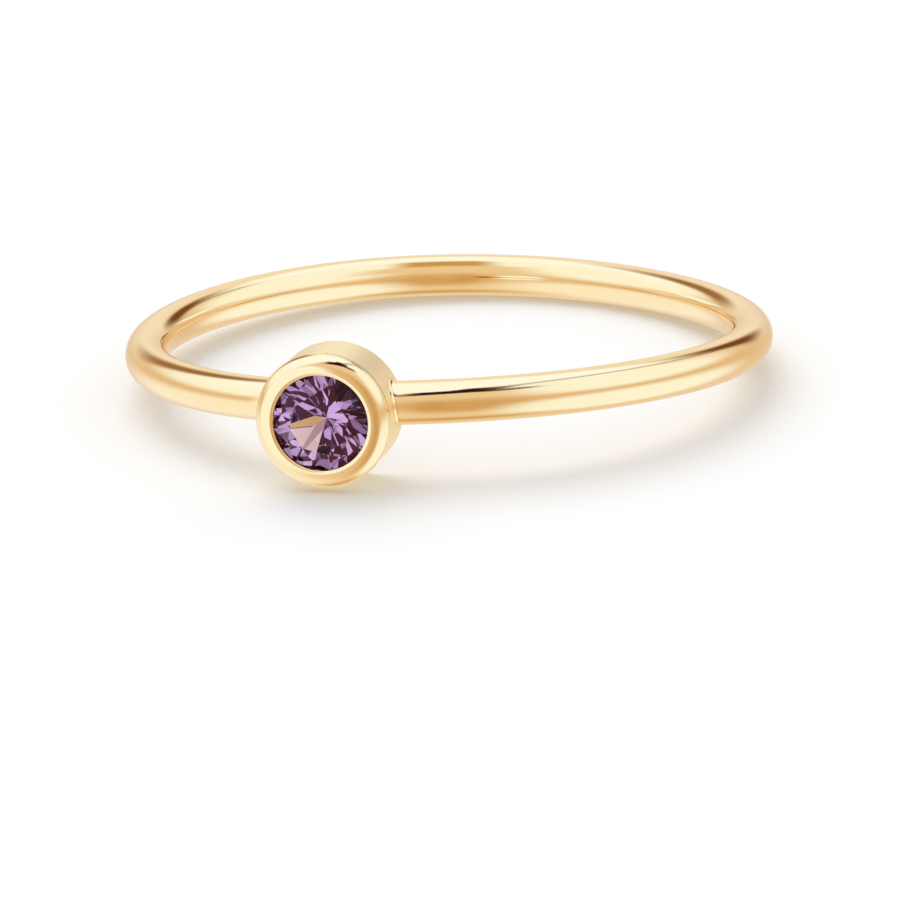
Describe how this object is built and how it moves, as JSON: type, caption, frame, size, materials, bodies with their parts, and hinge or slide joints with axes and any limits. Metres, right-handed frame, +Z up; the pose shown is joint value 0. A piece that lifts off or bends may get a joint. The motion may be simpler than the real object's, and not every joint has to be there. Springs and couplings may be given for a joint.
{
  "type": "ring",
  "caption": "Slim round-wire finger ring with a turned bezel cup that holds a faceted round violet stone.",
  "frame": {"origin": "middle of the bottom of the ring's box, on the surface it lies on", "axes": "+Z up from the surface it lies on, -Y towards the cup and stone"},
  "size_m": [0.02, 0.0214, 0.0042],
  "materials": {
    "gold": "polished yellow gold, the cup's side satin",
    "violet_stone": "clear violet, cut and polished"
  },
  "bodies": {
    "root": {"band_and_bezel": "gold", "stone": "violet_stone"}
  },
  "joints": []
}
